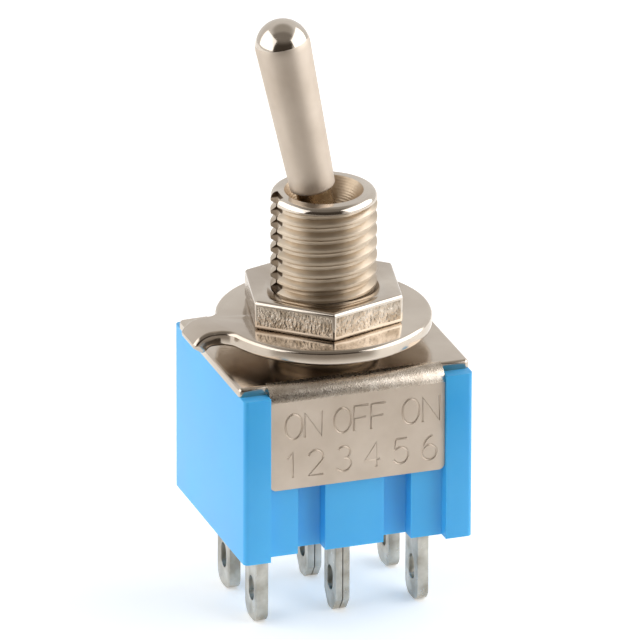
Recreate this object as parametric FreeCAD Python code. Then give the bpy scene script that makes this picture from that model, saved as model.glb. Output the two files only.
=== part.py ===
import FreeCAD
import Part
import math
import os

# Miniature double-pole toggle switch, three positions (on, off, on), for a panel hole.
# Millimetres. The origin is where the bushing's axis meets the top of the cover plate,
# which is the face that lies against a panel. +X is the way the lever is thrown,
# -Y is the stamped front, +Z points out of the panel.
# The switch is modelled with the lever leaning to -X.

# Case, a moulded box open at the top, built round and under the mechanism
case_end_wall = 1.15
case_end_gap = 0.475
case_side_wall = 0.7
rocker_side_gap = 0.35
case_floor = 1.9
case_corner_round = 0.3
corner_rib_width = 1.55
rib_proud = 0.72
groove_width = 1.6
groove_depth = 0.9
centre_pad_width = 3.4
pole_barrier = 0.7

# Cover frame, one folded sheet
sheet_thickness = 0.5
plate_overhang = 0.025
plate_side_step = 0.05
plate_corner_round = 0.25
bend_outer_radius = 0.9
flap_height = 6.1
flap_side_gap = 0.03
flap_corner_round = 0.35

# Bushing, turned, with a keyway down its left side
bushing_radius = 2.95
bushing_height = 8.95
bushing_chamfer = 0.45
bushing_mouth_radius = 2.2
bushing_flange_gap = 0.2
bushing_flange_thickness = 0.7
tail_swing_clearance = 0.1
keyway_width = 1.1
keyway_depth = 0.45
keyway_stop = 0.3
thread_root_radius = 2.54

# Lock washer with a bent tab, and the nut that sits on it
washer_radius = 6.0
washer_thickness = 0.88
washer_lift = 0.89
washer_edge_chamfer = 0.15
washer_bore_clearance = 0.08
washer_tooth_clearance = 0.06
tab_half_width = 1.2
tab_flat_past_root = 0.22
tab_bend_radius = 1.3
tab_bend_angle = 55.0
tab_tip_length = 0.3
tab_root_round = 0.9
tab_tip_round = 0.3
nut_across_flats = 8.2
nut_thickness = 1.68
nut_sides = 6
nut_corner_direction = -101.8
nut_edge_chamfer = 0.2
nut_countersink = 0.3
nut_countersink_depth = 0.33
thread_clearance = 0.05

# Lever, turned, with a ball that bears in the bushing
pivot_height = 6.05
lever_lean = 11.6
lever_ball_radius = 2.0
lever_neck_radius = 1.0
lever_bat_above_rim = 0.33
lever_bat_start_radius = 1.26
lever_bat_tip = 11.9
lever_tip_radius = 1.53
lever_bat_chamfer = 0.2
lever_tail_radius = 0.8
ball_clearance = 0.06
bushing_throat_radius = 1.45
ball_chamber_depth = 3.05

# Carrier on the lever's tail, with a sprung plunger for each pole
pole_pitch = 4.8
carrier_top_gap = 0.65
carrier_half_width = 1.45
carrier_cheek_width = 2.2
carrier_wall = 0.25
carrier_round = 0.85
tail_socket_depth = 2.5
plunger_radius = 0.78
plunger_clearance = 0.05
plunger_length = 2.9
plunger_showing = 1.1
plunger_stroke_room = 1.2
plunger_nose_radius = 0.6
plunger_cup_wall = 0.2
plunger_cup_depth = 1.3
spring_bore_roof = 0.8
spring_wire_radius = 0.08
spring_side_clearance = 0.06
spring_wire_sides = 4
spring_turns = 3

# Rockers, their saddles and the contacts
rocker_tilt = 8.0
rocker_pivot_rise = 1.0
rocker_seat_rise = 0.6
rocker_thickness = 0.35
rocker_width = 2.0
rocker_waist_width = 1.1
rocker_waist_length = 1.3
rocker_flat_before_contact = 1.1
rocker_end_length = 0.6
rocker_end_droop = 12.5
rocker_notch_radius = 0.9
rocker_notch_depth = 0.07
touch_gap = 0.03
saddle_radius = 0.3
saddle_running_gap = 0.03
moving_contact_inset = 0.7
moving_contact_radius = 0.9
moving_contact_seat = 0.62
fixed_contact_radius = 0.75
fixed_contact_height = 0.3
fixed_contact_edge = 0.08

# Solder lugs
lug_pitch = 4.7
lug_width = 2.1
lug_thickness = 0.65
lug_reach = 4.89
lug_corner_round = 0.8
common_width = 2.0
common_thickness = 0.8
common_seam = 0.05
common_seam_run = 0.8
common_seam_height = 4.0
common_point_run = 0.62
common_point_drop = 0.85
common_point_round = 0.37
common_shoulder_gap = 0.05
common_shoulder_height = 0.4
common_horn_gap = 0.07
common_horn_height = 0.4
lug_hole_width = 0.9
lug_hole_length = 1.45
lug_hole_above_tip = 1.85
leaf_end_inset = 0.15
leaf_bend_radius = 0.5

# Heights that follow from the sizes above
case_top = -sheet_thickness
washer_top = washer_lift + washer_thickness
nut_top = washer_top + nut_thickness
flange_bottom = case_top - bushing_flange_thickness

# Places along the lever, measured from its pivot
lever_bat_start = bushing_height + lever_bat_above_rim - pivot_height
carrier_top = pivot_height - flange_bottom + carrier_top_gap
spring_bore_top = carrier_top + spring_bore_roof
plunger_top = spring_bore_top + plunger_stroke_room
plunger_reach = plunger_top + plunger_length
nose_centre = plunger_reach - plunger_nose_radius
carrier_bottom = plunger_reach - plunger_showing

# Heights under the plungers, down to the lugs' tips
rocker_pivot_height = pivot_height - plunger_reach - rocker_seat_rise
floor_top = rocker_pivot_height - rocker_pivot_rise
case_bottom = floor_top - case_floor
lug_tip = case_bottom - lug_reach
leaf_top = floor_top + lug_thickness
fixed_contact_top = leaf_top + fixed_contact_height

# Widths and depths that follow, from the mechanism outwards
pole_y = pole_pitch / 2
cavity_half_y = pole_y + rocker_width / 2 + rocker_side_gap
groove_y = cavity_half_y + case_side_wall
seat_y = groove_y + groove_depth
case_half_depth = seat_y + rib_proud
cavity_half_x = lug_pitch + lug_thickness / 2 + case_end_gap
case_half_length = cavity_half_x + case_end_wall
rib_inner_x = case_half_length - corner_rib_width
flap_half_width = rib_inner_x - flap_side_gap
flap_face_y = seat_y + sheet_thickness
bend_y = flap_face_y - bend_outer_radius
bushing_flange_radius = cavity_half_y - bushing_flange_gap
tab_root_reach = math.sqrt((washer_radius + tab_root_round) ** 2
                           - (tab_half_width + tab_root_round) ** 2)
tab_start = tab_root_reach + tab_flat_past_root
moving_contact_reach = lug_pitch - moving_contact_inset
rocker_arc_reach = moving_contact_reach - rocker_flat_before_contact
rocker_reach = moving_contact_reach + rocker_end_length

# Carrier, plungers and springs, outwards from their axes
plunger_bore = plunger_radius + plunger_clearance
carrier_half_y = pole_y + plunger_bore + carrier_wall
cup_radius = plunger_radius - plunger_cup_wall
spring_coil_radius = cup_radius - spring_side_clearance - spring_wire_radius

# Working values: how far a cutting solid runs past what it cuts, and when two places match
past = 1.0
near = 0.001


def vec(x, y, z):
    return FreeCAD.Vector(x, y, z)


def box(x0, x1, y0, y1, z0, z1):
    """Box between two bounds on each axis, given in any order."""
    x0, x1 = sorted((x0, x1))
    y0, y1 = sorted((y0, y1))
    z0, z1 = sorted((z0, z1))
    return Part.makeBox(x1 - x0, y1 - y0, z1 - z0, vec(x0, y0, z0))


def post(radius, z0, z1, x=0.0, y=0.0):
    return Part.makeCylinder(radius, z1 - z0, vec(x, y, z0))


def turned(profile):
    """Solid of revolution about Z from (radius, height) points.

    A point of four numbers is reached by an arc: the arc's middle comes first, then its end.
    """
    edges = []
    start = profile[-1]
    for point in profile:
        ends = [vec(r, 0, z) for r, z in (start[-2:], point[-2:])]
        if len(point) == 4:
            middle = vec(point[0], 0, point[1])
            edges.append(Part.Arc(ends[0], middle, ends[1]).toShape())
        else:
            edges.append(Part.makeLine(ends[0], ends[1]))
        start = point
    return Part.Face(Part.Wire(edges)).revolve(vec(0, 0, 0), vec(0, 0, 1), 360)


def across(outline, half_y):
    """Outline in X and Z, pushed out both ways along Y."""
    wire = Part.makePolygon([vec(x, -half_y, z) for x, z in outline + outline[:1]])
    return Part.Face(wire).extrude(vec(0, 2 * half_y, 0))


def bar_x(radius, half_x, y, z, x=0.0):
    return Part.makeCylinder(radius, 2 * half_x, vec(x - half_x, y, z), vec(1, 0, 0))


def bar_y(radius, half_y, x, z, y=0.0):
    return Part.makeCylinder(radius, 2 * half_y, vec(x, y - half_y, z), vec(0, 1, 0))


def edges_along(shape, axis, keep=None):
    """Straight edges along one axis, X, Y or Z, whose middle passes the keep test."""
    found = []
    for edge in shape.Edges:
        size = {"X": edge.BoundBox.XLength, "Y": edge.BoundBox.YLength, "Z": edge.BoundBox.ZLength}
        length = size.pop(axis)
        if length > near and max(size.values()) < near and (not keep or keep(edge.BoundBox.Center)):
            found.append(edge)
    return found


def save(shape, name):
    shape = shape.removeSplitter()
    solids = shape.Solids
    shape = solids[0] if len(solids) == 1 else Part.makeCompound(solids)
    shape.exportStep("parts/" + name + ".step")
    print(name, len(solids), round(shape.Volume, 3), shape.isValid())


def lean(shape):
    """From the lever's own upright frame, pivot at zero, to its place in the switch."""
    shape = shape.copy()
    shape.rotate(vec(0, 0, 0), vec(0, 1, 0), -lever_lean)
    shape.translate(vec(0, 0, pivot_height))
    return shape


# Case: ribs at the corners, a pad in the middle, two deep grooves beside it
def make_case():
    half_x = case_half_length
    half_y = case_half_depth
    body = box(-half_x, half_x, -half_y, half_y, case_bottom, case_top)
    body = body.makeFillet(case_corner_round, edges_along(body, "Z"))
    cuts = []
    pad_edge = centre_pad_width / 2
    bottom = case_bottom - past
    top = case_top + past
    for side in (-1, 1):
        outside = side * (half_y + past)
        cuts.append(box(-rib_inner_x, rib_inner_x, side * seat_y, outside, bottom, top))
        cuts.append(seat_round(side))
        for end in (-1, 1):
            cuts.append(box(end * pad_edge, end * (pad_edge + groove_width), side * groove_y,
                            outside, bottom, top))
        cuts.append(box(-cavity_half_x, cavity_half_x, side * pole_barrier / 2,
                        side * cavity_half_y, floor_top, top))
    barrier_top = rocker_pivot_height + common_horn_height + saddle_radius
    cuts.append(box(-cavity_half_x, cavity_half_x, -cavity_half_y, cavity_half_y,
                    barrier_top, top))
    for side in (-1, 1):
        for end in (-1, 0, 1):
            wide = common_width if end == 0 else lug_width
            thick = common_thickness if end == 0 else lug_thickness
            cuts.append(box(end * lug_pitch - thick / 2, end * lug_pitch + thick / 2,
                            side * pole_y - wide / 2, side * pole_y + wide / 2,
                            bottom, floor_top + past))
    return body.cut(cuts)


def seat_round(side):
    """Rounds the seat's top edge to the inside of the cover frame's bend."""
    edge = box(-rib_inner_x, rib_inner_x, side * bend_y, side * (seat_y + past),
               -bend_outer_radius, case_top + past)
    inner = bend_outer_radius - sheet_thickness
    return edge.cut(bar_x(inner, rib_inner_x, side * bend_y, -bend_outer_radius))


# Cover frame: plate, two rolled bends and two flaps in one sheet
def make_cover_frame():
    inner = bend_outer_radius - sheet_thickness
    wide = flap_half_width
    half_x = case_half_length + plate_overhang
    half_y = seat_y - plate_side_step
    plate = box(-half_x, half_x, -half_y, half_y, -sheet_thickness, 0)
    plate = plate.makeFillet(plate_corner_round, edges_along(plate, "Z"))
    rooms = []
    pieces = []
    for side in (-1, 1):
        outside = side * (flap_face_y + past)
        # the bend takes the place of the plate's edge
        rooms.append(box(-wide, wide, side * bend_y, outside, -sheet_thickness, 0))
        bend = bar_x(bend_outer_radius, wide, side * bend_y, -bend_outer_radius)
        bend = bend.cut(bar_x(inner, wide, side * bend_y, -bend_outer_radius))
        pieces.append(bend.common(box(-wide, wide, side * bend_y, outside, -bend_outer_radius, past)))
        flap = box(-wide, wide, side * seat_y, side * flap_face_y, -flap_height, -bend_outer_radius)
        feet = edges_along(flap, "Y", lambda p: p.z < near - flap_height)
        pieces.append(flap.makeFillet(flap_corner_round, feet))
    frame = plate.cut(rooms).fuse(pieces)
    return frame.cut(post(bushing_radius, case_top - past, past))


# Bushing: funnel mouth, throat, seat for the ball, flange under the plate
def make_bushing():
    seat_radius = lever_ball_radius + ball_clearance
    throat_angle = math.asin(bushing_throat_radius / seat_radius)
    middle = (throat_angle + math.pi / 2) / 2
    lean_angle = math.radians(lever_lean)
    skirt_bore = ((pivot_height - flange_bottom) * math.tan(lean_angle)
                  + lever_tail_radius / math.cos(lean_angle) + tail_swing_clearance)
    # the thread is a plain cylinder, drawn at its root where the nut is screwed on
    body = turned([
        (skirt_bore, flange_bottom), (bushing_flange_radius, flange_bottom),
        (bushing_flange_radius, case_top), (bushing_radius, case_top),
        (bushing_radius, washer_top), (thread_root_radius, washer_top),
        (thread_root_radius, nut_top), (bushing_radius, nut_top),
        (bushing_radius, bushing_height - bushing_chamfer),
        (bushing_radius - bushing_chamfer, bushing_height),
        (bushing_mouth_radius, bushing_height),
        (bushing_throat_radius, pivot_height + seat_radius * math.cos(throat_angle)),
        (seat_radius * math.sin(middle), pivot_height + seat_radius * math.cos(middle),
         seat_radius, pivot_height),
        (seat_radius, pivot_height - ball_chamber_depth)])
    key = box(-bushing_radius - past, -bushing_radius + keyway_depth,
              -keyway_width / 2, keyway_width / 2, keyway_stop, bushing_height + past)
    return body.cut(key)


# Nut: hexagon with bevelled edges and a countersunk bore
def make_nut():
    corner = nut_across_flats / 2 / math.cos(math.pi / nut_sides)
    points = []
    for i in range(nut_sides):
        angle = math.radians(nut_corner_direction) + 2 * math.pi * i / nut_sides
        points.append(vec(corner * math.cos(angle), corner * math.sin(angle), washer_top))
    outline = Part.makePolygon(points + points[:1])
    hexagon = Part.Face(outline).extrude(vec(0, 0, nut_thickness))
    rims = [edge for edge in hexagon.Edges if abs(edge.tangentAt(edge.FirstParameter).z) < near]
    hexagon = hexagon.makeChamfer(nut_edge_chamfer, rims)
    bore = thread_root_radius + thread_clearance
    mouth = bushing_radius + nut_countersink
    hole = turned([
        (0, washer_top), (mouth, washer_top), (bore, washer_top + nut_countersink_depth),
        (bore, nut_top - nut_countersink_depth), (mouth, nut_top), (0, nut_top)])
    return hexagon.cut(hole)


# Lock washer: stamped ring, tooth for the keyway, tab bent down past the plate's edge
def make_washer():
    ring = post(washer_radius, washer_lift, washer_top)
    strip = box(-tab_start, 0, -tab_half_width, tab_half_width, washer_lift, washer_top)
    blank = ring.fuse(strip).removeSplitter()
    roots = edges_along(blank, "Z", lambda p: -tab_start + near < p.x < 0)
    blank = blank.makeFillet(tab_root_round, roots)
    blank = blank.fuse(make_tab()).removeSplitter()
    bore = bushing_radius + washer_bore_clearance
    hole = post(bore, washer_lift - past, washer_top + past)
    tooth_half = keyway_width / 2 - washer_tooth_clearance
    tooth_tip = bushing_radius - keyway_depth + washer_tooth_clearance
    tooth = box(-bore - tooth_half, -tooth_tip, -tooth_half, tooth_half, washer_lift, washer_top)
    washer = blank.cut(hole).fuse(tooth).removeSplitter()
    rims = []
    for edge in washer.Edges:
        curve = edge.Curve
        if isinstance(curve, Part.Circle) and abs(curve.Radius - washer_radius) < near:
            rims.append(edge)
    return washer.makeChamfer(washer_edge_chamfer, rims)


def make_tab():
    angle = math.radians(tab_bend_angle)
    centre = vec(-tab_start, -tab_half_width, washer_top - tab_bend_radius)
    inner = tab_bend_radius - washer_thickness

    def spot(radius, turn, along=0.0):
        x = centre.x - radius * math.sin(turn) - along * math.cos(turn)
        z = centre.z + radius * math.cos(turn) - along * math.sin(turn)
        return vec(x, centre.y, z)

    outer_arc = Part.Arc(spot(tab_bend_radius, 0), spot(tab_bend_radius, angle / 2),
                         spot(tab_bend_radius, angle)).toShape()
    inner_arc = Part.Arc(spot(inner, angle), spot(inner, angle / 2), spot(inner, 0)).toShape()
    tip = [spot(tab_bend_radius, angle), spot(tab_bend_radius, angle, tab_tip_length),
           spot(inner, angle, tab_tip_length), spot(inner, angle)]
    sides = [Part.makeLine(tip[0], tip[1]), Part.makeLine(tip[1], tip[2]),
             Part.makeLine(tip[2], tip[3])]
    root = Part.makeLine(spot(inner, 0), spot(tab_bend_radius, 0))
    wire = Part.Wire([outer_arc] + sides + [inner_arc, root])
    tab = Part.Face(wire).extrude(vec(0, 2 * tab_half_width, 0))
    middle = (spot(tab_bend_radius, angle, tab_tip_length)
              + spot(inner, angle, tab_tip_length)) * 0.5
    ends = []
    for edge in tab.Edges:
        centre = edge.BoundBox.Center
        aside = centre - vec(middle.x, centre.y, middle.z)
        if edge.BoundBox.YLength < near and aside.Length < near:
            ends.append(edge)
    return tab.makeFillet(min(tab_tip_round, tab_tip_length), ends)


# Lever, turned in its own upright frame: tail, ball, neck and bat
def make_lever():
    neck = lever_neck_radius
    tail = lever_tail_radius
    ball = lever_ball_radius
    bat = lever_bat_start_radius
    tip = lever_tip_radius
    half_turn = math.sqrt(0.5)
    tail_end = -(carrier_top + tail_socket_depth)
    return lean(turned([
        (0, tail_end), (tail, tail_end), (tail, -math.sqrt(ball ** 2 - tail ** 2)),
        (ball, 0, neck, math.sqrt(ball ** 2 - neck ** 2)), (neck, lever_bat_start),
        (bat - lever_bat_chamfer, lever_bat_start), (bat, lever_bat_start + lever_bat_chamfer),
        (tip, lever_bat_tip),
        (tip * half_turn, lever_bat_tip + tip * half_turn, 0, lever_bat_tip + tip)]))


# Carrier: a cross bar on the tail, bored for a plunger at each end
def make_carrier():
    top = -carrier_top
    bottom = -carrier_bottom
    block = box(-carrier_half_width, carrier_half_width, -carrier_half_y, carrier_half_y,
                bottom, top)
    block = block.makeFillet(carrier_round, edges_along(block, "Z"))
    waist = pole_y - plunger_bore - carrier_wall
    cuts = []
    for end in (-1, 1):
        cuts.append(box(end * carrier_cheek_width / 2, end * (carrier_half_width + past),
                        -waist, waist, bottom - past, top - tail_socket_depth))
    for side in (-1, 1):
        cuts.append(post(plunger_bore, bottom - past, -spring_bore_top, 0, side * pole_y))
    cuts.append(post(lever_tail_radius, top - tail_socket_depth, top + past))
    return lean(block.cut(cuts))


# Plunger: a cup that holds its spring, with a round nose that rides on the rocker
def make_plunger(side):
    nose = plunger_nose_radius
    half_turn = math.sqrt(0.5)
    cup_floor = -plunger_top - plunger_cup_depth
    plunger = turned([
        (0, cup_floor), (0, -plunger_reach),
        (nose * half_turn, -nose_centre - nose * half_turn, nose, -nose_centre),
        (plunger_radius, -nose_centre + plunger_radius - nose), (plunger_radius, -plunger_top),
        (cup_radius, -plunger_top), (cup_radius, cup_floor)])
    plunger.translate(vec(0, side * pole_y, 0))
    return lean(plunger)


# Spring: fine wire, four-sided to stay light, from the blind end of the bore to the plunger's cup
def make_spring(side):
    bottom = -plunger_top - plunger_cup_depth
    height = -spring_bore_top - bottom - 2 * spring_wire_radius
    pitch = height / spring_turns
    helix = Part.makeHelix(pitch, height, spring_coil_radius)
    corners = []
    for i in range(spring_wire_sides):
        angle = 2 * math.pi * (i + 0.5) / spring_wire_sides
        corners.append(vec(spring_coil_radius + spring_wire_radius * math.cos(angle), 0,
                           spring_wire_radius * math.sin(angle)))
    section = Part.makePolygon(corners + corners[:1])
    spring = Part.Wire(helix.Edges).makePipeShell([section], True, True)
    spring.translate(vec(0, side * pole_y, bottom + spring_wire_radius))
    return lean(spring)


# Rocker profile: the trough follows the path of the plunger's nose at every lever angle
def nose_in_rocker(lever_angle):
    """Centre of the plunger's nose in the rocker's frame, lever upright at zero."""
    swing = math.radians(lever_angle)
    tilt = math.radians(rocker_tilt * lever_angle / lever_lean)
    dx = nose_centre * math.sin(swing)
    dz = pivot_height - nose_centre * math.cos(swing) - rocker_pivot_height
    x = dx * math.cos(tilt) - dz * math.sin(tilt)
    z = dx * math.sin(tilt) + dz * math.cos(tilt)
    return x, z


def rocker_trough():
    """Radius of the trough and the height of its lowest point above the pivot."""
    end_x, end_z = nose_in_rocker(lever_lean)
    low_z = nose_in_rocker(0)[1]
    rise = end_z - low_z
    path_radius = (end_x ** 2 + rise ** 2) / (2 * rise)
    gap = plunger_nose_radius + touch_gap
    return path_radius + gap, low_z - gap


def make_rocker(side):
    radius, low = rocker_trough()
    centre = low + radius
    half = rocker_width / 2
    reach = rocker_arc_reach
    top_z = centre - math.sqrt(radius ** 2 - reach ** 2)
    bar = bar_y(radius + rocker_thickness, half, 0, centre)
    bar = bar.cut(bar_y(radius, half + past, 0, centre))
    window = box(-reach, reach, -half, half, low - past, centre)
    pieces = []
    slope = math.tan(math.radians(rocker_end_droop))
    drop = (rocker_reach - reach) * slope
    arc_foot = centre - math.sqrt((radius + rocker_thickness) ** 2 - reach ** 2)
    for end in (-1, 1):
        pieces.append(across([(end * reach, arc_foot), (end * reach, top_z),
                              (end * rocker_reach, top_z - drop),
                              (end * rocker_reach, arc_foot - drop)], half))
        pieces.append(moving_contact(end, arc_foot - (moving_contact_reach - reach) * slope))
    strip = bar.common(window).fuse(pieces)
    cuts = [bar_y(saddle_radius + saddle_running_gap, half + past, 0, 0)]
    notch_z = low - rocker_notch_depth + rocker_notch_radius
    cuts.append(bar_y(rocker_notch_radius, half + past, 0, notch_z))
    for end in (-1, 1):
        cuts.append(box(-rocker_waist_length / 2, rocker_waist_length / 2,
                        end * rocker_waist_width / 2, end * (half + past), -past, centre))
    strip = strip.cut(cuts)
    strip.rotate(vec(0, 0, 0), vec(0, 1, 0), rocker_tilt)
    strip.translate(vec(0, side * pole_y, rocker_pivot_height))
    return strip


def moving_contact_centre():
    """Where the contact's ball centre has to be to stop just above the fixed contact."""
    tilt = math.radians(rocker_tilt)
    level = fixed_contact_top + touch_gap - rocker_pivot_height
    z = (moving_contact_radius + level + moving_contact_reach * math.sin(tilt)) / math.cos(tilt)
    return moving_contact_reach, z


def moving_contact(end, strip_foot):
    x, z = moving_contact_centre()
    ball = Part.makeSphere(moving_contact_radius, vec(end * x, 0, z))
    head = post(moving_contact_seat, z - moving_contact_radius - past,
                strip_foot + rocker_thickness / 2, end * x)
    return ball.common(head)


def fixed_contact_place():
    """Distance from the middle at which the moving contact comes down."""
    tilt = math.radians(rocker_tilt)
    x, z = moving_contact_centre()
    return x * math.cos(tilt) + z * math.sin(tilt)


# Fixed contact: a flat-headed rivet on the leaf of an outer lug
def make_fixed_contact(end, side):
    head = post(fixed_contact_radius, leaf_top, fixed_contact_top,
                end * fixed_contact_place(), side * pole_y)
    rim = [e for e in head.Edges if isinstance(e.Curve, Part.Circle)
           and e.BoundBox.Center.z > fixed_contact_top - near]
    return head.makeChamfer(fixed_contact_edge, rim)


def lug_hole(x, y, thickness):
    z = lug_tip + lug_hole_above_tip
    radius = lug_hole_width / 2
    half_run = lug_hole_length / 2 - radius
    half_x = thickness / 2 + past
    ends = [bar_x(radius, half_x, y, z - half_run, x), bar_x(radius, half_x, y, z + half_run, x)]
    middle = box(x - half_x, x + half_x, y - radius, y + radius, z - half_run, z + half_run)
    return middle.fuse(ends)


# Outer lug: blade through the floor, top bent over as a leaf that carries the contact
def make_outer_lug(end, side):
    x = end * lug_pitch
    y = side * pole_y
    blade = box(x - lug_thickness / 2, x + lug_thickness / 2, y - lug_width / 2,
                y + lug_width / 2, lug_tip, leaf_top)
    feet = edges_along(blade, "X", lambda p: p.z < lug_tip + near)
    blade = blade.makeFillet(lug_corner_round, feet)
    inner = fixed_contact_place() - fixed_contact_radius - leaf_end_inset
    leaf = box(end * inner, end * (lug_pitch - lug_thickness / 2), y - lug_width / 2,
               y + lug_width / 2, floor_top, leaf_top)
    lug = blade.fuse(leaf).removeSplitter()
    outside = lug_pitch + lug_thickness / 2
    bend = edges_along(lug, "Y", lambda p: end * p.x > outside - near and p.z > leaf_top - near)
    lug = lug.makeFillet(leaf_bend_radius, bend)
    return lug.cut(lug_hole(x, y, lug_thickness))


# Common lug: a folded blade with shoulders on the floor and a saddle between two horns
def make_common_lug(side):
    y = side * pole_y
    half_x = common_thickness / 2
    half_y = common_width / 2
    saddle_z = rocker_pivot_height
    horn_top = saddle_z + common_horn_height + saddle_radius
    tip = [(-half_y, horn_top), (-half_y, lug_tip + common_point_drop),
           (-half_y + common_point_run, lug_tip), (half_y - common_point_run, lug_tip),
           (half_y, lug_tip + common_point_drop), (half_y, horn_top)]
    wire = Part.makePolygon([vec(-half_x, y + a, b) for a, b in tip + tip[:1]])
    blade = Part.Face(wire).extrude(vec(common_thickness, 0, 0))
    points = edges_along(blade, "X", lambda p: p.z < lug_tip + near)
    blade = blade.makeFillet(common_point_round, points)
    shoulder_half_y = cavity_half_y - pole_y - common_shoulder_gap
    shoulder = box(-half_x, half_x, y - shoulder_half_y, y + shoulder_half_y,
                   floor_top, floor_top + common_shoulder_height)
    throat = rocker_waist_width / 2 + common_horn_gap
    gap = box(-half_x - past, half_x + past, y - throat, y + throat, saddle_z, horn_top + past)
    lug = blade.fuse(shoulder).cut(gap)
    lug = lug.fuse(bar_y(saddle_radius, throat, 0, saddle_z, y))
    seam = box(-common_seam / 2, common_seam / 2, y - half_y - past, y - half_y + common_seam_run,
               lug_tip - past, lug_tip + common_seam_height)
    return lug.cut([seam, lug_hole(0, y, common_thickness)])


os.makedirs("parts", exist_ok=True)
save(make_case(), "case")
save(make_cover_frame(), "cover_frame")
save(make_bushing(), "bushing")
save(make_nut(), "hex_nut")
save(make_washer(), "lock_washer")
save(make_lever(), "lever")
save(make_carrier(), "plunger_carrier")
for side, side_name in ((-1, "front"), (1, "rear")):
    save(make_plunger(side), side_name + "_plunger")
    save(make_spring(side), side_name + "_plunger_spring")
    save(make_rocker(side), side_name + "_rocker")
    save(make_common_lug(side), side_name + "_common_lug")
    for end, end_name in ((-1, "left"), (1, "right")):
        save(make_outer_lug(end, side), side_name + "_" + end_name + "_lug")
        save(make_fixed_contact(end, side), side_name + "_" + end_name + "_contact")
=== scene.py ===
import bmesh
import bpy
import math
from mathutils import Matrix, Vector


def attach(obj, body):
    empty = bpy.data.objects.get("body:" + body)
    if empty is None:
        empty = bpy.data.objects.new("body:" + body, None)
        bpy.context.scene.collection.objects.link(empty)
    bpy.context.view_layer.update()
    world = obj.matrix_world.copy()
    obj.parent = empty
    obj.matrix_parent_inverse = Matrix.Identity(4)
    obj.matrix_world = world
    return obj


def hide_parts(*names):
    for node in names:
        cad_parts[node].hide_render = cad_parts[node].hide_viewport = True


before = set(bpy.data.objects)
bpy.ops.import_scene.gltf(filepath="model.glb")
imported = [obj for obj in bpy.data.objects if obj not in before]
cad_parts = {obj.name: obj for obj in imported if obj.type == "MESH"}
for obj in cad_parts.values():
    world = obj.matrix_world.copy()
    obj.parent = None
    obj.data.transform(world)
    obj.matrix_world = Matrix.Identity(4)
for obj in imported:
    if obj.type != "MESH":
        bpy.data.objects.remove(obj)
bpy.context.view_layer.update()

# Everything is modelled in millimetres and brought to metres when a piece is finished.
toMetres = 0.001
samePoint = 0.0005  # points nearer than this are one
past = 1  # a cutter reaches this far beyond what it cuts
slack = 0.01  # for telling faces apart by their place
latheSteps = 96
cornerAngle = math.radians(32)  # sharper than this is an edge, softer is a curve
gentleAngle = math.radians(25)  # the same for the thread and the washer
flatAngle = math.radians(0.6)  # triangles this nearly level become one face


# Small helpers

def clearSelection():
    if bpy.context.mode != "OBJECT":
        bpy.ops.object.mode_set(mode="OBJECT")
    bpy.ops.object.select_all(action="DESELECT")


def makeActive(piece):
    clearSelection()
    piece.select_set(True)
    bpy.context.view_layer.objects.active = piece


def editAll(piece):
    makeActive(piece)
    bpy.ops.object.mode_set(mode="EDIT")
    bpy.ops.mesh.select_all(action="SELECT")


def pick(piece, kind, test):
    # selects the faces or edges that pass the test, and stays in edit mode
    makeActive(piece)
    bpy.ops.object.mode_set(mode="EDIT")
    bpy.ops.mesh.select_mode(type=kind)
    bpy.ops.mesh.select_all(action="DESELECT")
    shape = bmesh.from_edit_mesh(piece.data)
    for part in shape.faces if kind == "FACE" else shape.edges:
        if test(part):
            part.select = True
    bmesh.update_edit_mesh(piece.data)


def applyModifier(piece, kind, **settings):
    makeActive(piece)
    modifier = piece.modifiers.new(kind.title(), kind)
    for name, value in settings.items():
        setattr(modifier, name, value)
    bpy.ops.object.modifier_apply(modifier=modifier.name)


def soften(piece, width, angle=cornerAngle, slide=True):
    applyModifier(piece, "BEVEL", width=width, segments=3, limit_method="ANGLE", angle_limit=angle,
                  loop_slide=slide, use_clamp_overlap=True, miter_outer="MITER_ARC")


def cutWith(piece, cutter, operation="DIFFERENCE", crossing=False):
    applyModifier(piece, "BOOLEAN", object=cutter, operation=operation, solver="EXACT",
                  use_self=crossing)
    bpy.data.objects.remove(cutter)


def coatWith(piece, *finishes):
    # the first finish is all over, the others wait for faces with their number
    piece.data.materials.clear()
    for finish in finishes:
        piece.data.materials.append(finish)


def shadeSmooth(piece, angle=cornerAngle):
    makeActive(piece)
    bpy.ops.object.shade_smooth_by_angle(angle=angle)


def finishPiece(piece, body, slotName, *nodes):
    makeActive(piece)
    piece.scale = (toMetres, toMetres, toMetres)
    bpy.ops.object.transform_apply(location=True, rotation=True, scale=True)
    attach(piece, body)
    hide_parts(*nodes)


def arcPoints(centreX, centreZ, radiusX, radiusZ, startDegrees, endDegrees, count):
    points = []
    for i in range(count + 1):
        angle = math.radians(startDegrees + (endDegrees - startDegrees) * i / count)
        points.append((centreX + radiusX * math.cos(angle), centreZ + radiusZ * math.sin(angle)))
    return points


def drawOutline(name, points):
    # point by point, as a chain of edges in the XZ plane
    corners = [Vector((x, 0, z)) for x, z in points]
    clearSelection()
    bpy.ops.mesh.primitive_plane_add(size=1, location=(0, 0, 0))
    piece = bpy.context.object
    piece.name = name
    bpy.ops.object.mode_set(mode="EDIT")
    bpy.ops.mesh.select_mode(type="VERT")
    bpy.ops.mesh.select_all(action="SELECT")
    bpy.ops.mesh.merge(type="CENTER")
    bpy.ops.transform.translate(value=corners[0])
    for here, there in zip(corners, corners[1:]):
        bpy.ops.mesh.extrude_region_move(TRANSFORM_OT_translate={"value": there - here})
    return piece


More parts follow.
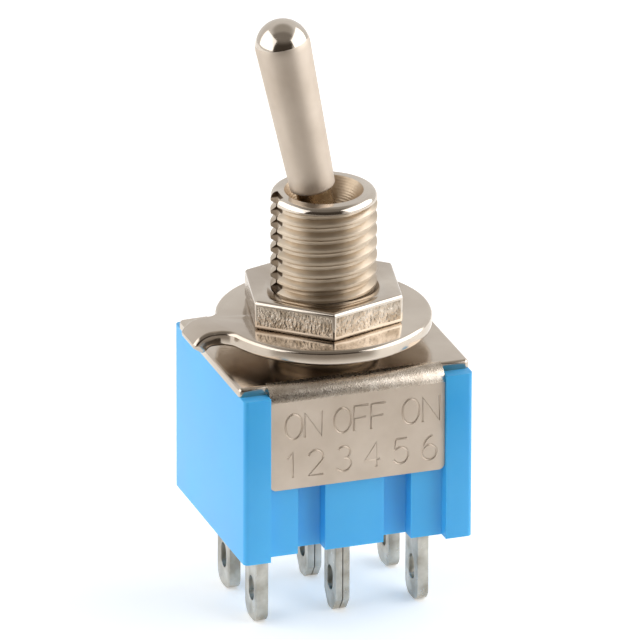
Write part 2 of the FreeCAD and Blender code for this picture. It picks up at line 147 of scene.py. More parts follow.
def turnOnLathe(name, points):
    piece = drawOutline(name, points)
    bpy.ops.mesh.select_all(action="SELECT")
    bpy.ops.mesh.spin(steps=latheSteps, angle=2 * math.pi, center=(0, 0, 0), axis=(0, 0, 1))
    editAll(piece)
    bpy.ops.mesh.remove_doubles(threshold=samePoint)
    bpy.ops.mesh.normals_make_consistent(inside=False)
    bpy.ops.object.mode_set(mode="OBJECT")
    return piece


def copyOfNode(node, name):
    # a solid's triangles, merged to clean faces
    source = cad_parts[node]
    piece = source.copy()
    piece.data = source.data.copy()
    piece.name = name
    piece.parent = None
    bpy.context.scene.collection.objects.link(piece)
    makeActive(piece)
    piece.matrix_world = Matrix.Scale(1 / toMetres, 4)
    bpy.ops.object.transform_apply(location=True, rotation=True, scale=True)
    editAll(piece)
    bpy.ops.mesh.remove_doubles(threshold=samePoint)
    bpy.ops.mesh.dissolve_limited(angle_limit=flatAngle, delimit={"NORMAL"})
    bpy.ops.object.mode_set(mode="OBJECT")
    return piece


# Materials

def hexColour(text):
    channels = [int(text[i:i + 2], 16) / 255 for i in (0, 2, 4)]
    linear = [c / 12.92 if c <= 0.04045 else ((c + 0.055) / 1.055) ** 2.4 for c in channels]
    return (*linear, 1.0)


def addNode(tree, kind, sockets=None, stops=(), **settings):
    # a socket takes a value or another node's output; stops are a ramp's places and colours
    node = tree.nodes.new(kind)
    for name, value in settings.items():
        setattr(node, name, value)
    for name, value in (sockets or {}).items():
        if isinstance(value, bpy.types.NodeSocket):
            tree.links.new(value, node.inputs[name])
        else:
            node.inputs[name].default_value = value
    for i, (position, colour) in enumerate(stops):
        node.color_ramp.elements[i].position = position
        node.color_ramp.elements[i].color = hexColour(colour)
    return node


def startMaterial(name):
    material = bpy.data.materials.new(name)
    material.use_nodes = True
    tree = material.node_tree
    tree.nodes.clear()
    place = addNode(tree, "ShaderNodeTexCoord").outputs["Object"]
    return material, tree, place


def finishMaterial(tree, sockets):
    shader = addNode(tree, "ShaderNodeBsdfPrincipled", sockets)
    addNode(tree, "ShaderNodeOutputMaterial", {"Surface": shader.outputs[0]})


def perMillimetre(size):
    # noise scale whose features are about this many millimetres across
    return 1 / (size * toMetres)


noiseLow, noiseHigh = 0.3, 0.7  # most of a noise lies between these


def nickelMaterial(name, spec):
    material, tree, place = startMaterial(name)
    # thickness of the plating drifts a little, warm to grey
    drift = addNode(tree, "ShaderNodeTexNoise", {
        "Vector": place, "Scale": perMillimetre(spec["driftSize"]), "Detail": 3.0}).outputs["Fac"]
    colour = addNode(tree, "ShaderNodeValToRGB", {"Fac": drift},
                     stops=((0.35, spec["deep"]), (noiseHigh, spec["light"]))).outputs[0]
    # handling leaves it duller in patches
    haze = addNode(tree, "ShaderNodeTexNoise", {
        "Vector": place, "Scale": perMillimetre(spec["hazeSize"]), "Detail": 4.0}).outputs["Fac"]
    gloss = addNode(tree, "ShaderNodeMapRange", {
        "Value": haze, "From Min": noiseLow, "From Max": noiseHigh,
        "To Min": spec["roughness"][0], "To Max": spec["roughness"][1]}).outputs[0]
    # the grain of real plating is a few microns, so it is drawn as coarse as it needs to show
    stretched = addNode(tree, "ShaderNodeVectorMath", {0: place, 1: spec.get("stretch", (1, 1, 1))},
                        operation="MULTIPLY").outputs[0]
    grain = addNode(tree, "ShaderNodeTexNoise", {
        "Vector": stretched, "Scale": perMillimetre(spec["grainSize"]),
        "Detail": spec.get("grainDetail", 2.0)}).outputs["Fac"]
    relief = addNode(tree, "ShaderNodeBump", {
        "Height": grain, "Strength": spec["grainStrength"],
        "Distance": spec["grainDepth"] * toMetres}).outputs[0]
    if "ringSize" in spec:
        # a wave texture's period is pi / 10 over its scale
        rings = addNode(tree, "ShaderNodeTexWave", {
            "Vector": place, "Scale": math.pi / 10 * perMillimetre(spec["ringSize"]), "Detail": 2.0,
            "Distortion": spec["ringWander"], "Phase Offset": spec["ringPhase"]},
            bands_direction="Z").outputs["Fac"]
        relief = addNode(tree, "ShaderNodeBump", {
            "Height": rings, "Strength": 0.5, "Distance": spec["ringDepth"] * toMetres,
            "Normal": relief}).outputs[0]
    # painted shade: dark bands along the rings stand in for the shade in the thread's grooves
    if "ringShade" in spec:
        grooveShade = addNode(tree, "ShaderNodeMapRange", {
            "Value": rings, "From Min": spec["shadeFrom"][0],
            "From Max": spec["shadeFrom"][1]}).outputs[0]
        colour = addNode(tree, "ShaderNodeMixRGB", {
            "Fac": grooveShade, "Color1": colour, "Color2": hexColour(spec["ringShade"])}).outputs[0]
    finishMaterial(tree, {
        "Base Color": colour, "Metallic": 1.0, "Roughness": gloss, "Normal": relief})
    return material


# Bright nickel over a turned or stamped blank: warm grey mirror with a faint orange peel
brightNickel = nickelMaterial("brightNickelPlate", {
    "deep": "B9ADA0", "light": "D3C9BD", "driftSize": 6.0, "hazeSize": 1.2,
    "roughness": (0.12, 0.2), "grainSize": 0.25, "grainStrength": 0.2, "grainDepth": 0.008})
# The rolled thread: the same nickel, creamier and a little rougher
threadNickel = nickelMaterial("rolledThreadNickel", {
    "deep": "B4A592", "light": "CEC0AE", "driftSize": 2.5, "hazeSize": 0.6,
    "roughness": (0.3, 0.38), "grainSize": 0.12, "grainStrength": 0.25, "grainDepth": 0.008})
# Funnel of the bushing: turned brass under a thin plate, browner, with the tool's fine rings,
# which are really about 0.05 mm apart and drawn wider to show
turnedFunnel = nickelMaterial("turnedFunnelNickel", {
    "deep": "9C8973", "light": "C0AF99", "driftSize": 1.5, "hazeSize": 0.4,
    "roughness": (0.28, 0.4), "grainSize": 0.1, "grainStrength": 0.3, "grainDepth": 0.008,
    "ringSize": 0.14, "ringDepth": 0.012, "ringWander": 1.5, "ringPhase": 0})
# Polished nickel on the lever's tip and on the rims: the clearest mirror of all
polishedNickel = nickelMaterial("polishedNickelPlate", {
    "deep": "B9AEA2", "light": "D8CFC4", "driftSize": 4.0, "hazeSize": 0.8,
    "roughness": (0.08, 0.15), "grainSize": 0.5, "grainStrength": 0.1, "grainDepth": 0.006})
# Milled keyway under the plate: rough, its colour lifted pale as painted light against the slot's
# shade, with dark bands of painted shade at each groove of the 0.75 mm thread
milledNickel = nickelMaterial("milledNickel", {
    "deep": "D2C6B8", "light": "E4DACD", "driftSize": 1.0, "hazeSize": 0.3,
    "roughness": (0.5, 0.65), "grainSize": 0.08, "grainStrength": 0.4, "grainDepth": 0.01,
    "ringSize": 0.75, "ringDepth": 0.02, "ringWander": 0.2, "ringPhase": -1.13,
    "ringShade": "5A4A3A", "shadeFrom": (0.45, 0.75)})
# Satin nickel over a tumbled blank: soft, pale, no clear reflections
satinNickel = nickelMaterial("satinNickelPlate", {
    "deep": "C4B7A9", "light": "D2C6B9", "driftSize": 3.0, "hazeSize": 0.5,
    "roughness": (0.48, 0.56), "grainSize": 0.07, "grainStrength": 0.35, "grainDepth": 0.01})
# The sheet's plate stretched over the bend: grainy, with fine pits
stretchedNickel = nickelMaterial("stretchedNickelPlate", {
    "deep": "C2B6A8", "light": "DAD0C4", "driftSize": 0.5, "hazeSize": 0.15,
    "roughness": (0.22, 0.34), "grainSize": 0.07, "grainStrength": 0.6, "grainDepth": 0.02,
    "grainDetail": 3.0})
# Sheared and crumbled sides of the nut, plated over: small bright hammer marks
hammeredNickel = nickelMaterial("hammeredNickelPlate", {
    "deep": "9C8F7F", "light": "D2C7BA", "driftSize": 0.6, "hazeSize": 0.3,
    "roughness": (0.14, 0.24), "grainSize": 0.16, "grainStrength": 1.0, "grainDepth": 0.08,
    "stretch": (1, 1, 0.65)})
# Silver plate left in the air: dull grey with lighter clouds, its grain drawn out along the lugs
dullSilver = nickelMaterial("tarnishedSilverPlate", {
    "deep": "9F9A8F", "light": "CAC8C0", "driftSize": 1.1, "hazeSize": 0.5,
    "roughness": (0.26, 0.42), "grainSize": 0.18, "grainStrength": 0.4, "grainDepth": 0.02,
    "stretch": (1, 1, 0.3)})
# Thinly plated brass of the lever's neck: the yellow comes through
thinNickel = nickelMaterial("thinNickelOverBrass", {
    "deep": "8E7A60", "light": "B5A288", "driftSize": 0.8, "hazeSize": 0.4,
    "roughness": (0.2, 0.32), "grainSize": 0.2, "grainStrength": 0.3, "grainDepth": 0.01})
# Drawn steel wire of the springs: even dark grey with a soft shine
springWire = nickelMaterial("musicWire", {
    "deep": "70706E", "light": "9A9A98", "driftSize": 0.4, "hazeSize": 0.2,
    "roughness": (0.25, 0.35), "grainSize": 0.05, "grainStrength": 0.2, "grainDepth": 0.004})


def plasticMaterial(name, spec):
    material, tree, place = startMaterial(name)
    # the melt leaves faint clouds as it flows, in colour and in gloss
    cloud = addNode(tree, "ShaderNodeTexNoise", {
        "Vector": place, "Scale": perMillimetre(spec["cloudSize"]), "Detail": 4.0}).outputs["Fac"]
    colour = addNode(tree, "ShaderNodeValToRGB", {"Fac": cloud},
                     stops=((noiseLow, spec["deep"]), (noiseHigh, spec["light"]))).outputs[0]
    gloss = addNode(tree, "ShaderNodeMapRange", {
        "Value": cloud, "From Min": noiseLow, "From Max": noiseHigh,
        "To Min": spec["roughness"][0], "To Max": spec["roughness"][1]}).outputs[0]
    # the skin left by the mould, finer in truth and drawn coarser to show
    skin = addNode(tree, "ShaderNodeTexNoise", {
        "Vector": place, "Scale": perMillimetre(spec["skinSize"]), "Detail": 3.0}).outputs["Fac"]
    relief = addNode(tree, "ShaderNodeBump", {
        "Height": skin, "Strength": spec["skinStrength"],
        "Distance": spec["skinDepth"] * toMetres}).outputs[0]
    finishMaterial(tree, {
        "Base Color": colour, "Metallic": 0.0, "Roughness": gloss, "Normal": relief,
        "IOR": spec["ior"], "Subsurface Weight": spec["glow"], "Subsurface Radius": (0.3, 0.6, 1.0),
        "Subsurface Scale": spec["glowDepth"] * toMetres})
    return material


# Moulded thermoset of the case: sky blue and slightly waxy, with a faint flow mottle
bluePlastic = plasticMaterial("mouldedBlueThermoset", {
    "deep": "38A8EA", "light": "46B2EE", "cloudSize": 5.0, "roughness": (0.3, 0.38), "ior": 1.5,
    "glow": 0.15, "glowDepth": 0.6, "skinSize": 0.3, "skinStrength": 0.12, "skinDepth": 0.01})
# Moulded nylon without dye: milky, half matt, light goes in a little
naturalNylon = plasticMaterial("naturalNylon", {
    "deep": "D8D2C2", "light": "E6E1D4", "cloudSize": 2.0, "roughness": (0.4, 0.5), "ior": 1.53,
    "glow": 0.2, "glowDepth": 0.5, "skinSize": 0.2, "skinStrength": 0.1, "skinDepth": 0.01})
# Moulded nylon dyed black: even and half matt
blackNylon = plasticMaterial("blackNylon", {
    "deep": "232323", "light": "303030", "cloudSize": 1.0, "roughness": (0.35, 0.45), "ior": 1.53,
    "glow": 0.0, "glowDepth": 0.1, "skinSize": 0.2, "skinStrength": 0.1, "skinDepth": 0.01})


# Case: moulded box with soft edges

caseSpec = {"edgeRound": 0.14}


def makeCase():
    piece = copyOfNode("case", "caseShell")
    soften(piece, caseSpec["edgeRound"])
    coatWith(piece, bluePlastic)
    shadeSmooth(piece)
    finishPiece(piece, "switch", "case_plastic", "case")


# Cover frame: folded sheet with words stamped in the front flap

coverSpec = {
    "edgeRound": 0.06, "rimRound": 0.2, "faceY": -5.85, "flapHalfWidth": 5.07, "bendRadius": 0.9,
    "capHeight": 1.48, "strokeRadius": 0.08, "strokeRise": 0.03,
    "flatNormal": 0.999,  # faces as square to an axis as this are shaded flat
    # each word with its left end, its right end and the line that it stands on
    "words": (("ON", -4.2, -2.1, -3.12), ("OFF", -1.37, 1.6, -3.12), ("ON", 2.6, 4.75, -3.12),
              ("123456", -4.1, 4.6, -5.42)),
}

# letters as strokes in a box one high, each with its own width
letterStrokes = {
    "O": (0.66, [arcPoints(0.33, 0.5, 0.33, 0.5, 90, 450, 24)]),
    "N": (0.66, [[(0, 0), (0, 1), (0.66, 0), (0.66, 1)]]),
    "F": (0.56, [[(0, 0), (0, 1), (0.56, 1)], [(0, 0.52), (0.48, 0.52)]]),
    "1": (0.3, [[(0, 0.78), (0.22, 1), (0.22, 0)]]),
    "2": (0.58, [arcPoints(0.29, 0.71, 0.29, 0.29, 165, -30, 10) + [(0, 0), (0.58, 0)]]),
    "3": (0.56, [arcPoints(0.27, 0.75, 0.25, 0.25, 150, -85, 10),
                 arcPoints(0.27, 0.27, 0.29, 0.27, 85, -155, 12)]),
    "4": (0.6, [[(0.46, 0), (0.46, 1), (0, 0.3), (0.6, 0.3)]]),
    "5": (0.58, [[(0.52, 1), (0.08, 1), (0.03, 0.55)]
                 + arcPoints(0.27, 0.33, 0.31, 0.33, 128, -150, 14)]),
    "6": (0.58, [arcPoints(0.29, 0.3, 0.29, 0.3, 90, 450, 20),
                 arcPoints(0.55, 0.3, 0.55, 0.7, 105, 180, 8)]),
}


def strokesOf(text, left, right, line):
    height = coverSpec["capHeight"]
    widths = [letterStrokes[letter][0] * height for letter in text]
    gap = (right - left - sum(widths)) / max(1, len(text) - 1)
    found = []
    x = left
    for letter, width in zip(text, widths):
        for stroke in letterStrokes[letter][1]:
            found.append([(x + a * height, line + b * height) for a, b in stroke])
        x += width + gap
    return found


def makeStampCutter():
    # round rods along the strokes, sunk about a third into the flap's face
    curve = bpy.data.curves.new("stampStrokes", "CURVE")
    curve.dimensions = "3D"
    curve.bevel_depth = coverSpec["strokeRadius"]
    curve.bevel_resolution = 2
    curve.use_fill_caps = True
    y = coverSpec["faceY"] - coverSpec["strokeRise"]
    for word in coverSpec["words"]:
        for stroke in strokesOf(*word):
            spline = curve.splines.new("POLY")
            closed = (Vector(stroke[0]) - Vector(stroke[-1])).length < samePoint
            if closed:
                stroke = stroke[:-1]
            spline.points.add(len(stroke) - 1)
            for point, (x, z) in zip(spline.points, stroke):
                point.co = (x, y, z, 1)
            spline.use_cyclic_u = closed
    cutter = bpy.data.objects.new("stampStrokes", curve)
    bpy.context.scene.collection.objects.link(cutter)
    makeActive(cutter)
    bpy.ops.object.convert(target="MESH")
    return bpy.context.object


def isPlateCorner(edge):
    # the plate's upper edges beside the flaps
    first, second = (corner.co for corner in edge.verts)
    beside = coverSpec["flapHalfWidth"] + slack
    return (abs(first.z) < samePoint and abs(second.z) < samePoint
            and abs(first.x + second.x) / 2 > beside and edge.calc_face_angle(0) > 1)


def makeCover():
    piece = copyOfNode("cover_frame", "coverFrame")
    pick(piece, "EDGE", isPlateCorner)
    bpy.ops.mesh.bevel(offset=coverSpec["rimRound"], segments=4, affect="EDGES")
    bpy.ops.object.mode_set(mode="OBJECT")
    soften(piece, coverSpec["edgeRound"])
    cutWith(piece, makeStampCutter(), crossing=True)
    coatWith(piece, brightNickel, satinNickel, stretchedNickel)
    flapReach = -coverSpec["faceY"] - coverSpec["bendRadius"]
    for face in piece.data.polygons:
        middle = face.center
        if abs(middle.y) > flapReach and abs(middle.x) < coverSpec["flapHalfWidth"]:
            face.material_index = 2 if middle.z > -coverSpec["bendRadius"] else 1
    shadeSmooth(piece)
    for face in piece.data.polygons:
        # the flat sheet round the letters stays flat
        if max(abs(face.normal.y), abs(face.normal.z)) > coverSpec["flatNormal"]:
            face.use_smooth = False
    finishPiece(piece, "switch", "nickel_plate", "cover_frame")


# Bushing: rolled thread with a keyway, turned funnel mouth, seat for the ball

bushingSpec = {
    "crest": 2.95, "root": 2.54, "top": 8.95,
    "flange": 3.55, "flangeTop": -0.5, "flangeBottom": -1.2,
    "mouth": 2.2, "funnelIn": 0.08, "funnelDeep": 0.12, "throat": 1.45, "seat": 2.06, "pivot": 6.05,
    "chamberEnd": 3.0, "skirt": 2.405, "keyWidth": 1.1, "keyDepth": 0.45, "keyStop": 0.3,
    # thread, 0.31 deep, its flanks at about 35 degrees
    "pitch": 0.75, "threadStart": -1.975, "turns": 15, "steps": 72,
    "rootHalf": 0.09, "rootRadius": 2.64, "rootRound": 0.01, "crestHalf": 0.07, "crestRound": 0.03,
    # plain rim above it, and how far flange, thread and rim run into each other
    "collar": 8.5, "collarIn": 0.02, "lipInner": 2.6, "lipStart": 0.03,
    "threadLap": 0.05, "flangeIn": 0.1, "flangeLap": 0.3,
}


def makeThread(spec):
    # one pitch of the thread, then wound up with the screw modifier and cut off level at both ends
    crest = spec["crest"]
    root = spec["rootRadius"]
    pitch = spec["pitch"]
    low = spec["threadStart"]
    half = spec["rootHalf"]
    flank = root + spec["rootRound"]
    middle = low + pitch / 2
    flat = spec["crestHalf"]
    soft = spec["crestRound"]
    piece = drawOutline("bushingThread", [
        (root, low), (flank, low + half),
        (crest - soft, middle - flat - soft), (crest, middle - flat),
        (crest, middle + flat), (crest - soft, middle + flat + soft),
        (flank, low + pitch - half), (root, low + pitch)])
    applyModifier(piece, "SCREW", angle=2 * math.pi, screw_offset=pitch, iterations=spec["turns"],
                  steps=spec["steps"], render_steps=spec["steps"], axis="Z")
    editAll(piece)
    bpy.ops.mesh.remove_doubles(threshold=samePoint)
    threadTop = spec["collar"] + spec["threadLap"]
    for height, isTop in ((threadTop, True), (spec["flangeTop"], False)):
        bpy.ops.mesh.select_all(action="SELECT")
        bpy.ops.mesh.bisect(plane_co=(0, 0, height), plane_no=(0, 0, 1), use_fill=True,
                            clear_inner=not isTop, clear_outer=isTop)
    bpy.ops.mesh.select_all(action="SELECT")
    bpy.ops.mesh.normals_make_consistent(inside=False)
    bpy.ops.object.mode_set(mode="OBJECT")
    return piece


def makeBushing():
    spec = bushingSpec
    piece = makeThread(spec)
    flangeInner = spec["root"] - spec["flangeIn"]
    flangeEnd = spec["flangeTop"] + spec["flangeLap"]
    flange = turnOnLathe("flange", [
        (0, spec["flangeBottom"]), (spec["flange"], spec["flangeBottom"]),
        (spec["flange"], spec["flangeTop"]), (flangeInner, spec["flangeTop"]),
        (flangeInner, flangeEnd), (0, flangeEnd)])
    cutWith(piece, flange, "UNION")
    collar = turnOnLathe("collar", [
        (0, spec["collar"]), (spec["crest"] - spec["collarIn"], spec["collar"]),
        *arcPoints(spec["lipInner"], spec["collar"] + spec["lipStart"],
                   spec["crest"] - spec["lipInner"],
                   spec["top"] - spec["collar"] - spec["lipStart"], 0, 90, 12),
        (0, spec["top"])])
    cutWith(piece, collar, "UNION")
    # the funnel narrows to a throat over the ball's round seat, and a wide skirt follows below
    throatHeight = spec["pivot"] + math.sqrt(spec["seat"] ** 2 - spec["throat"] ** 2)
    throatDegrees = math.degrees(math.atan2(throatHeight - spec["pivot"], spec["throat"]))
    bore = turnOnLathe("bore", [
        (0, spec["top"] + past), (spec["mouth"], spec["top"] + past), (spec["mouth"], spec["top"]),
        (spec["mouth"] - spec["funnelIn"], spec["top"] - spec["funnelDeep"]),
        *arcPoints(0, spec["pivot"], spec["seat"], spec["seat"], throatDegrees, 0, 10),
        (spec["seat"], spec["chamberEnd"]), (spec["skirt"], spec["flangeBottom"]),
        (spec["skirt"], spec["flangeBottom"] - past), (0, spec["flangeBottom"] - past)])
    cutWith(piece, bore)
    keyFloor = -spec["crest"] + spec["keyDepth"]
    keyLength = spec["top"] + past - spec["keyStop"]
    clearSelection()
    bpy.ops.mesh.primitive_cube_add(
        size=1, location=(keyFloor - past, 0, spec["keyStop"] + keyLength / 2),
        scale=(2 * past, spec["keyWidth"], keyLength))
    cutWith(piece, bpy.context.object)
    piece.name = "threadedBushing"
    coatWith(piece, threadNickel, polishedNickel, turnedFunnel, milledNickel)
    for face in piece.data.polygons:
        middle = face.center
        if middle.xy.length < spec["mouth"] - 2 * slack and middle.z > 0:
            face.material_index = 2
        elif (abs(middle.y) < spec["keyWidth"] / 2 + slack and middle.x < keyFloor + slack
              and middle.z > 0):
            face.material_index = 3
        elif middle.z > spec["collar"] + spec["lipStart"]:
            face.material_index = 1
    shadeSmooth(piece, gentleAngle)
    finishPiece(piece, "switch", "nickel_plate", "bushing")


# Nut: hexagon with rounded rims and crumbled sides

nutSpec = {
    "acrossFlats": 8.2, "bottom": 1.77, "top": 3.45, "corner": -101.8, "rimRound": 0.2,
    "bore": 2.59, "mouth": 3.2, "mouthDepth": 0.33, "edgeRound": 0.05, "border": 0.08,
    "sideArea": 2,  # only the six sides are larger than this
}


def isNutSide(normal, area):
    return abs(normal.z) < 0.05 and area > nutSpec["sideArea"]


def makeNut():
    spec = nutSpec
    bottom, top = spec["bottom"], spec["top"]
    bore, mouth, mouthDepth = spec["bore"], spec["mouth"], spec["mouthDepth"]
    height = top - bottom
    clearSelection()
    # as it is made, one of its corners is at -90 degrees
    bpy.ops.mesh.primitive_cylinder_add(
        vertices=6, radius=spec["acrossFlats"] / 2 / math.cos(math.pi / 6), depth=height,
        location=(0, 0, bottom + height / 2), rotation=(0, 0, math.radians(spec["corner"] + 90)))
    piece = bpy.context.object
    piece.name = "hexNut"
    makeActive(piece)
    bpy.ops.object.transform_apply(location=True, rotation=True, scale=True)
    pick(piece, "FACE", lambda face: abs(face.normal.z) > 0.9)
    bpy.ops.mesh.bevel(offset=spec["rimRound"], segments=4, affect="EDGES")
    hole = turnOnLathe("nutBore", [
        (0, bottom - past), (mouth, bottom - past), (mouth, bottom), (bore, bottom + mouthDepth),
        (bore, top - mouthDepth), (mouth, top), (mouth, top + past), (0, top + past)])
    cutWith(piece, hole)
    soften(piece, spec["edgeRound"])
    pick(piece, "FACE", lambda face: isNutSide(face.normal, face.calc_area()))
    bpy.ops.mesh.inset(thickness=spec["border"], depth=0)
    bpy.ops.object.mode_set(mode="OBJECT")
    coatWith(piece, polishedNickel, hammeredNickel)
    for face in piece.data.polygons:
        if isNutSide(face.normal, face.area):
            face.material_index = 1
    shadeSmooth(piece)
    finishPiece(piece, "switch", "nickel_plate", "hex_nut")


# Lock washer: stamped ring, its upper edge rolled by the die

washerSpec = {"edgeRound": 0.09}


def makeWasher():
    piece = copyOfNode("lock_washer", "tabWasher")
    soften(piece, washerSpec["edgeRound"], gentleAngle)
    coatWith(piece, brightNickel)
    shadeSmooth(piece)
    finishPiece(piece, "switch", "nickel_plate", "lock_washer")


# Lever: turned bat with a polished round tip, drawn upright from the ball's centre and leant over

leverSpec = {
    "pivot": 6.05, "lean": 11.6, "ball": 2.0, "neck": 1.0, "tail": 0.8, "tailEnd": -10.4,
    "tailRound": 0.15, "batStart": 3.23, "neckDrop": 0.05, "batRadius": 1.26, "chamfer": 0.12,
    "tip": 11.9, "tipRadius": 1.53, "coneDrop": 1.5, "coneIn": 0.05, "coneEnd": 11.88,
    "polishFrom": 12.3, "smoothAngle": 40,
}


def makeLever():
    spec = leverSpec
    ball, neck, tail, tailEnd = spec["ball"], spec["neck"], spec["tail"], spec["tailEnd"]
    tipRadius, chamfer, batStart = spec["tipRadius"], spec["chamfer"], spec["batStart"]
    batIn = spec["batRadius"] - chamfer
    piece = turnOnLathe("batLever", [
        (0, tailEnd), (tail - spec["tailRound"], tailEnd), (tail, tailEnd + spec["tailRound"]),
        *arcPoints(0, 0, ball, ball, -math.degrees(math.acos(tail / ball)),
                   math.degrees(math.acos(neck / ball)), 20),
        (neck, batStart - spec["neckDrop"]), (batIn, batStart),
        *arcPoints(batIn, batStart + chamfer, chamfer, chamfer, -75, 0, 5),
        (tipRadius - spec["coneIn"], spec["tip"] - spec["coneDrop"]), (tipRadius, spec["coneEnd"]),
        *arcPoints(0, spec["tip"], tipRadius, tipRadius, 3, 90, 16)])
    coatWith(piece, satinNickel, polishedNickel, thinNickel)
    for face in piece.data.polygons:
        if face.center.z > spec["polishFrom"]:
            face.material_index = 1
        elif face.center.z <= batStart:
            face.material_index = 2
    shadeSmooth(piece, math.radians(spec["smoothAngle"]))
    piece.rotation_euler = (0, -math.radians(spec["lean"]), 0)
    piece.location = (0, 0, spec["pivot"])
    bpy.ops.object.transform_apply(location=True, rotation=True, scale=True)
    finishPiece(piece, "lever", "satin_nickel", "lever")


# Solder lugs

lugSpec = {"edgeRound": 0.1, "commonEdgeRound": 0.06}


def makeLugs():
    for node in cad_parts:
        if node.endswith("_lug"):
            piece = copyOfNode(node, node.title().replace("_", ""))
            edgeRound = lugSpec["commonEdgeRound" if "common" in node else "edgeRound"]
            # without sliding, or the round at the eye runs out along the face
            soften(piece, edgeRound, slide=False)
            coatWith(piece, dullSilver)
            shadeSmooth(piece)
            finishPiece(piece, "switch", "silver_lug", node)


# Inside pieces keep the solids' own shapes and get their finish, by the end of their name

insideFinishes = {
    "spring": springWire, "_plunger": blackNylon, "plunger_carrier": naturalNylon,
    "_rocker": dullSilver, "_contact": dullSilver,
}


def dressInside():
    for node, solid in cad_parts.items():
        for ending, finish in insideFinishes.items():
            if node.endswith(ending):
                coatWith(solid, finish)


makeCase()
print("case done")
makeCover()
print("cover frame done")
makeBushing()
print("bushing done")
makeNut()
makeWasher()
print("nut and washer done")
makeLever()
print("lever done")
makeLugs()
dressInside()
print("lugs and inside done")


# Floor, light and camera. darkWay is level and points to the dark side of the room.

darkWay = (-0.325, -0.946, 0)

stageSpec = {
    "floorZ": -15.14, "floorSize": 330, "floorColour": "F6F6F5", "floorLight": "FAFAF9",
    "cloudSize": 40, "roughness": 0.6, "floorGlow": 0.34,
    # farColour is the grey of the painted shade on the floor's far side
    "farColour": "A8A29A", "farFrom": (27, 50), "farSpread": (0.5, 0.68),
}


def makeStage():
    spec = stageSpec
    clearSelection()
    bpy.ops.mesh.primitive_plane_add(size=spec["floorSize"] * toMetres,
                                     location=(0, 0, spec["floorZ"] * toMetres))
    floor = bpy.context.object
    floor.name = "paleFloor"
    # matt white board, barely clouded
    material, tree, place = startMaterial("paleFloorPaint")
    cloud = addNode(tree, "ShaderNodeTexNoise", {
        "Vector": place, "Scale": perMillimetre(spec["cloudSize"])}).outputs["Fac"]
    pale = addNode(tree, "ShaderNodeValToRGB", {"Fac": cloud},
                   stops=((0, spec["floorColour"]), (1, spec["floorLight"]))).outputs[0]
    # painted shade: it falls off to grey towards the dark side of the room, outside the picture
    distance = addNode(tree, "ShaderNodeVectorMath", {0: place},
                       operation="LENGTH").outputs["Value"]
    straight = addNode(tree, "ShaderNodeVectorMath", {0: place},
                       operation="NORMALIZE").outputs[0]
    ahead = addNode(tree, "ShaderNodeVectorMath", {0: straight, 1: darkWay},
                    operation="DOT_PRODUCT").outputs["Value"]
    near, away = (limit * toMetres for limit in spec["farFrom"])
    shares = []
    for value, low, high in ((distance, near, away), (ahead, *spec["farSpread"])):
        shares.append(addNode(tree, "ShaderNodeMapRange", {
            "Value": value, "From Min": low, "From Max": high},
            interpolation_type="SMOOTHSTEP").outputs[0])
    far = addNode(tree, "ShaderNodeMath", {0: shares[0], 1: shares[1]},
                  operation="MULTIPLY").outputs[0]
    colour = addNode(tree, "ShaderNodeMixRGB", {
        "Fac": far, "Color1": pale, "Color2": hexColour(spec["farColour"])}).outputs[0]
    # as on a light table, the rest of it glows a little
    glow = addNode(tree, "ShaderNodeMapRange", {
        "Value": far, "To Min": spec["floorGlow"], "To Max": 0.0}).outputs[0]
    finishMaterial(tree, {"Base Color": colour, "Roughness": spec["roughness"],
                          "Emission Color": pale, "Emission Strength": glow})
    floor.data.materials.append(material)


worldSpec = {
    # a pale room all round, greyer overhead, with a dark strip on one side that dims upwards
    "pale": "EFEDEA", "overhead": "B4AFA8", "dark": "4A433C", "dim": "8C867F", "strength": 1.0,
    # for each share a way, and how far along it the share begins and is full
    "ways": {
        "overhead": ((0, 0, 1), (0.7, 0.92)), "dim": ((0, 0, 1), (0.35, 0.75)),
        "ahead": (darkWay, (0.0, 0.3)), "aside": ((0.946, -0.325, 0), (0.74, 0.58)),
    },
}


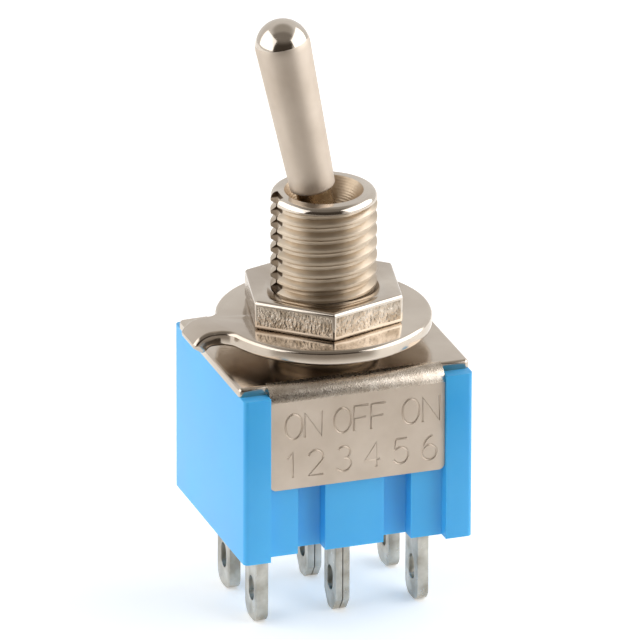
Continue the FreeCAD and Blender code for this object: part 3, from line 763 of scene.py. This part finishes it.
def makeWorld():
    spec = worldSpec
    world = bpy.data.worlds.new("lightRoom")
    world.use_nodes = True
    tree = world.node_tree
    tree.nodes.clear()
    view = addNode(tree, "ShaderNodeTexCoord").outputs["Generated"]
    shares = {}
    for name, (way, limits) in spec["ways"].items():
        along = addNode(tree, "ShaderNodeVectorMath", {0: view, 1: way},
                        operation="DOT_PRODUCT").outputs["Value"]
        if name == "aside":
            # the same on both sides
            along = addNode(tree, "ShaderNodeMath", {0: along}, operation="ABSOLUTE").outputs[0]
        shares[name] = addNode(tree, "ShaderNodeMapRange", {
            "Value": along, "From Min": limits[0], "From Max": limits[1]},
            interpolation_type="SMOOTHSTEP").outputs[0]
    strip = addNode(tree, "ShaderNodeMath", {0: shares["aside"], 1: shares["ahead"]},
                    operation="MULTIPLY").outputs[0]
    room = addNode(tree, "ShaderNodeMixRGB", {
        "Fac": shares["overhead"], "Color1": hexColour(spec["pale"]),
        "Color2": hexColour(spec["overhead"])}).outputs[0]
    shade = addNode(tree, "ShaderNodeMixRGB", {
        "Fac": shares["dim"], "Color1": hexColour(spec["dark"]),
        "Color2": hexColour(spec["dim"])}).outputs[0]
    colour = addNode(tree, "ShaderNodeMixRGB", {
        "Fac": strip, "Color1": room, "Color2": shade}).outputs[0]
    back = addNode(tree, "ShaderNodeBackground", {"Color": colour, "Strength": spec["strength"]})
    addNode(tree, "ShaderNodeOutputWorld", {"Surface": back.outputs[0]})
    bpy.context.scene.world = world


# two large softboxes, one at each side, facing the part: place, size and watts
softboxSpec = {
    "leftSoftbox": ((-458, 44, 195), (760, 480), 1.7),
    "rightSoftbox": ((425, -155, 210), (760, 480), 2.2),
}


def makeSoftboxes():
    for name, (place, size, watts) in softboxSpec.items():
        light = bpy.data.lights.new(name, "AREA")
        light.shape = "RECTANGLE"
        light.size = size[0] * toMetres
        light.size_y = size[1] * toMetres
        light.energy = watts
        lamp = bpy.data.objects.new(name, light)
        lamp.location = Vector(place) * toMetres
        lamp.rotation_euler = (-Vector(place)).to_track_quat("-Z", "Y").to_euler()
        bpy.context.scene.collection.objects.link(lamp)


cameraSpec = {
    "place": (-210.61, -611.90, 271.24), "target": (-0.05, 0.45, 0.979), "roll": 0.146,
    "lens": 714.2, "sensor": 36, "clip": (0.01, 20),
}


def makeCamera():
    spec = cameraSpec
    data = bpy.data.cameras.new("photoCamera")
    data.sensor_width = spec["sensor"]
    data.lens = spec["lens"]
    data.clip_start, data.clip_end = spec["clip"]
    camera = bpy.data.objects.new("photoCamera", data)
    place = Vector(spec["place"])
    aim = (Vector(spec["target"]) - place).to_track_quat("-Z", "Y").to_matrix().to_4x4()
    roll = Matrix.Rotation(math.radians(spec["roll"]), 4, "Z")
    camera.matrix_world = Matrix.Translation(place * toMetres) @ aim @ roll
    bpy.context.scene.collection.objects.link(camera)
    bpy.context.scene.camera = camera


makeStage()
makeWorld()
makeSoftboxes()
makeCamera()
bpy.context.scene.view_settings.view_transform = "Standard"
print("stage, light and camera done")
